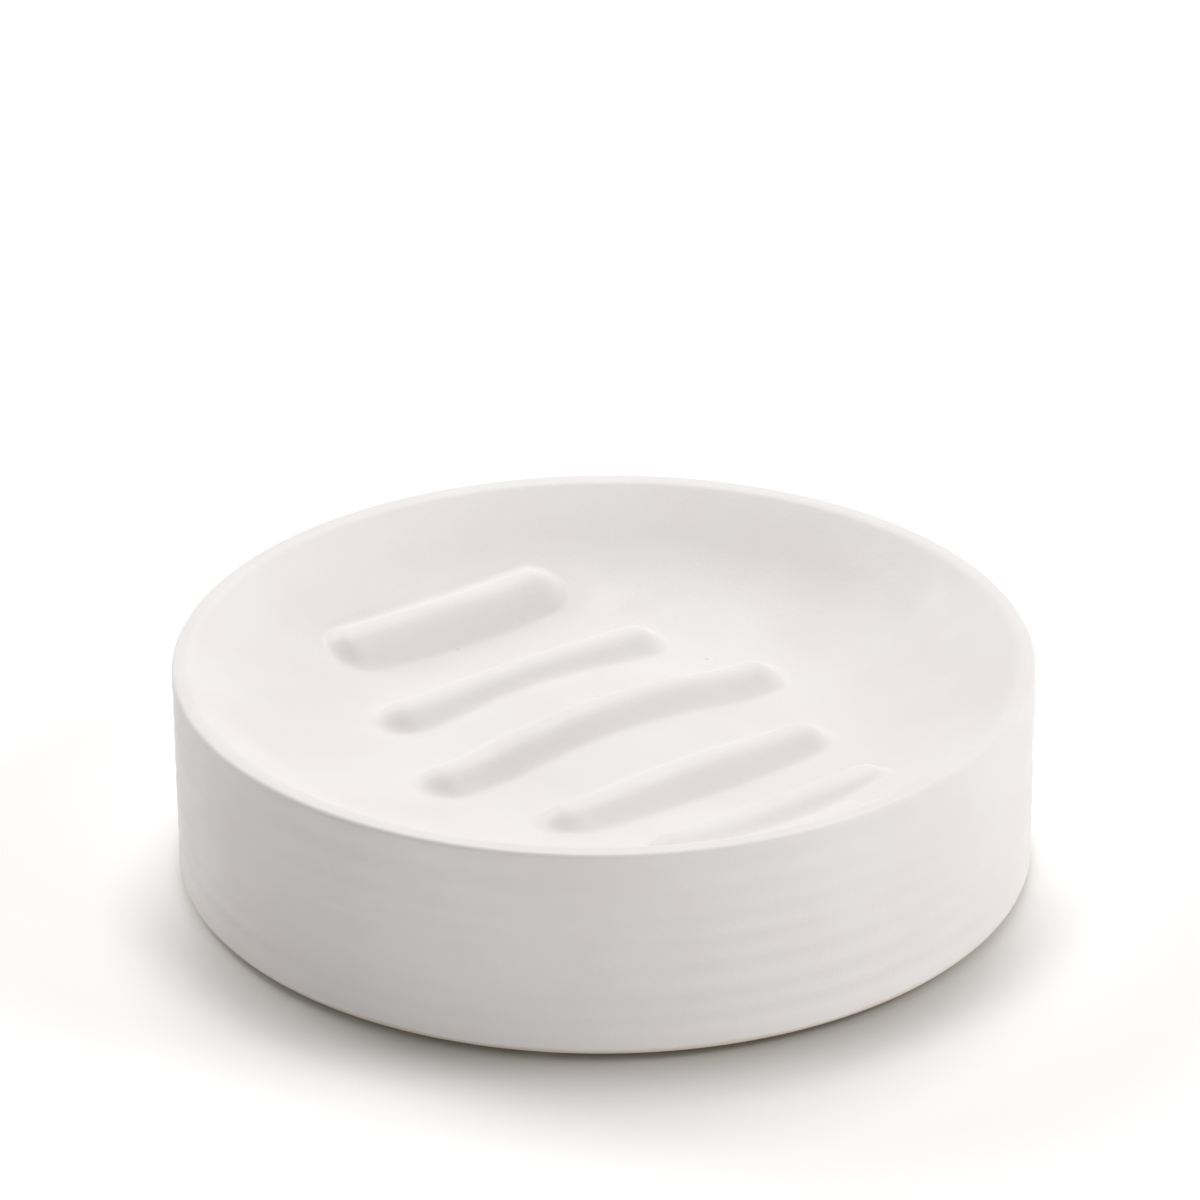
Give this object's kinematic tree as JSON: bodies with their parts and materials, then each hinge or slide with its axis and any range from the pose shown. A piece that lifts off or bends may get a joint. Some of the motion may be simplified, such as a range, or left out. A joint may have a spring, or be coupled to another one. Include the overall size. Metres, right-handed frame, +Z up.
{
  "type": "soap dish",
  "caption": "Round ceramic soap dish with a straight ringed wall, a dished top with raised ribs that keep the soap dry, and thin rubber feet under its base ring.",
  "frame": {"origin": "on the surface it stands on, under the middle of the dish", "axes": "+Z up along the axis of the dish, +X along the ribs"},
  "size_m": [0.12, 0.12, 0.0308],
  "materials": {
    "glaze": "matt white glaze",
    "foot_rubber": "matt grey silicone rubber"
  },
  "bodies": {
    "root": {"dish_body": "glaze", "front_left_foot": "foot_rubber", "front_right_foot": "foot_rubber", "rear_left_foot": "foot_rubber", "rear_right_foot": "foot_rubber"}
  },
  "joints": []
}
